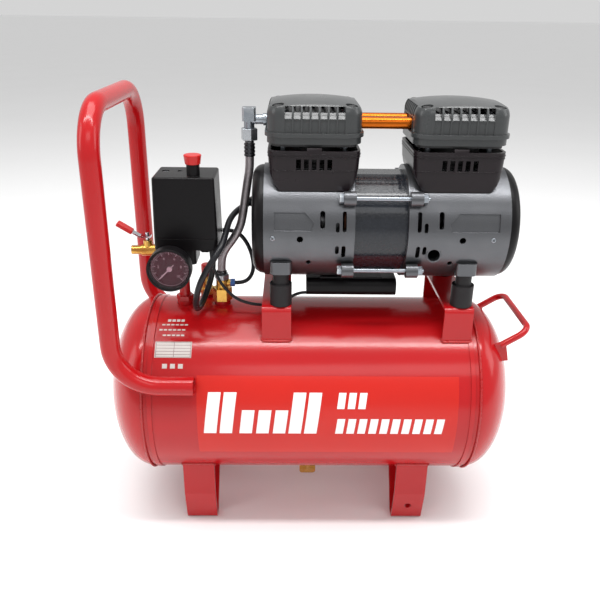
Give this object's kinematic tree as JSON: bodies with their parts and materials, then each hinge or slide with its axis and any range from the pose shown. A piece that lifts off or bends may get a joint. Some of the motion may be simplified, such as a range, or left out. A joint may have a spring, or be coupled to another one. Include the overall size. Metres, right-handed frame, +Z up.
{
  "type": "air compressor",
  "caption": "Portable oil-free air compressor: horizontal receiver with bent-tube handle, in-line pump and motor, pressure switch, gauge and outlet cock.",
  "frame": {"origin": "on the floor, under the middle of the footprint", "axes": "+X along the tank from the carry handle to the pull handle, +Y to the rear (away from the gauge), +Z up"},
  "size_m": [0.421, 0.1952, 0.44],
  "materials": {
    "red_paint": "gloss red enamel",
    "cast_alloy": "satin die-cast",
    "alloy": "machined",
    "gold_anodised": "orange-gold anodised",
    "black_plastic": "satin black",
    "cover_plastic": "glossy dark grey",
    "shroud_plastic": "dark grey",
    "red_plastic": "red",
    "black_rubber": "matt",
    "cable_rubber": "satin",
    "braid": "stainless braid",
    "blue_plastic": "blue",
    "zinc": "zinc plated",
    "steel": "machined",
    "lamination": "black lacquered laminations",
    "copper": "enamelled winding wire",
    "brass": "turned brass",
    "chrome": "bright",
    "dial": "dark printed dial",
    "needle_white": "pale",
    "lens": "clear",
    "capacitor_black": "satin black"
  },
  "bodies": {
    "receiver": {"tank_shell": "red_paint", "left_tank_head": "red_paint", "right_tank_head": "red_paint", "tank_bungs": "red_paint", "carry_handle": "red_paint", "pull_handle": "red_paint", "left_foot": "red_paint", "right_foot": "red_paint", "saddles": "red_paint", "rubber_mounts": "black_rubber", "mount_bolts": "zinc", "drain_valve": "brass", "left_housing": "cast_alloy", "right_housing": "cast_alloy", "end_caps": "black_plastic", "stator_core": "lamination", "windings": "copper", "main_bearings": "steel", "tie_rods": "zinc", "cylinder_liners": "alloy", "cylinder_shrouds": "shroud_plastic", "valve_plates": "alloy", "cylinder_heads": "cast_alloy", "head_bolts": "zinc", "transfer_tubes": "gold_anodised", "head_covers": "cover_plastic", "capacitor": "capacitor_black", "capacitor_bracket": "zinc", "check_valve": "brass", "unloader_collar": "blue_plastic", "elbow_fitting": "zinc", "hose_fittings": "zinc", "discharge_hose": "braid", "unloader_tube": "cable_rubber", "riser_pipe": "red_paint", "manifold": "black_plastic", "safety_valve": "brass", "switch_base": "black_plastic", "switch_cover": "black_plastic", "switch_mechanism": "steel", "cable_glands": "black_plastic", "motor_lead": "cable_rubber", "capacitor_lead": "cable_rubber", "gauge_case": "black_plastic", "gauge_dial": "dial", "gauge_lens": "lens", "outlet_valve": "brass"},
    "crank": {"crankshaft": "steel", "rotor": "steel", "cooling_fans": "black_plastic"},
    "left_piston": {"left_piston": "alloy"},
    "right_piston": {"right_piston": "alloy"},
    "knob": {"switch_knob": "red_plastic"},
    "outlet_lever": {"valve_ball": "chrome", "valve_lever": "chrome", "lever_grip": "red_plastic"},
    "needle": {"gauge_needle": "needle_white"},
    "safety": {"safety_cap": "red_plastic"},
    "drain": {"drain_key": "brass"}
  },
  "joints": [
    {"name": "crank_spin", "type": "hinge", "parent": "receiver", "child": "crank", "pos_m": [0.05872, 0, 0.317], "axis": [1, 0, 0], "continuous": true},
    {"name": "left_piston_slide", "type": "slide", "parent": "receiver", "child": "left_piston", "axis": [0, 0, 1], "range_m": [-0.007, 0.007]},
    {"name": "right_piston_slide", "type": "slide", "parent": "receiver", "child": "right_piston", "axis": [0, 0, 1], "range_m": [-0.007, 0.007]},
    {"name": "knob_pull", "type": "slide", "parent": "receiver", "child": "knob", "axis": [0, 0, 1], "range_m": [0, 0.004]},
    {"name": "outlet_lever_turn", "type": "hinge", "parent": "receiver", "child": "outlet_lever", "pos_m": [-0.16528, -0.008, 0.287], "axis": [0, 0, 1], "range_deg": [0, 90]},
    {"name": "needle_turn", "type": "hinge", "parent": "receiver", "child": "needle", "pos_m": [-0.13528, -0.0653, 0.2885], "axis": [0, 1, 0], "range_deg": [0, 270], "stiffness_Nm_per_rad": 0.0002},
    {"name": "safety_pull", "type": "slide", "parent": "receiver", "child": "safety", "axis": [0, 0, 1], "range_m": [0, 0.003], "stiffness_N_per_m": 300},
    {"name": "drain_key_turn", "type": "hinge", "parent": "receiver", "child": "drain", "pos_m": [-0.00528, 0, 0.023], "axis": [0, 0, 1], "range_deg": [0, 90]}
  ]
}
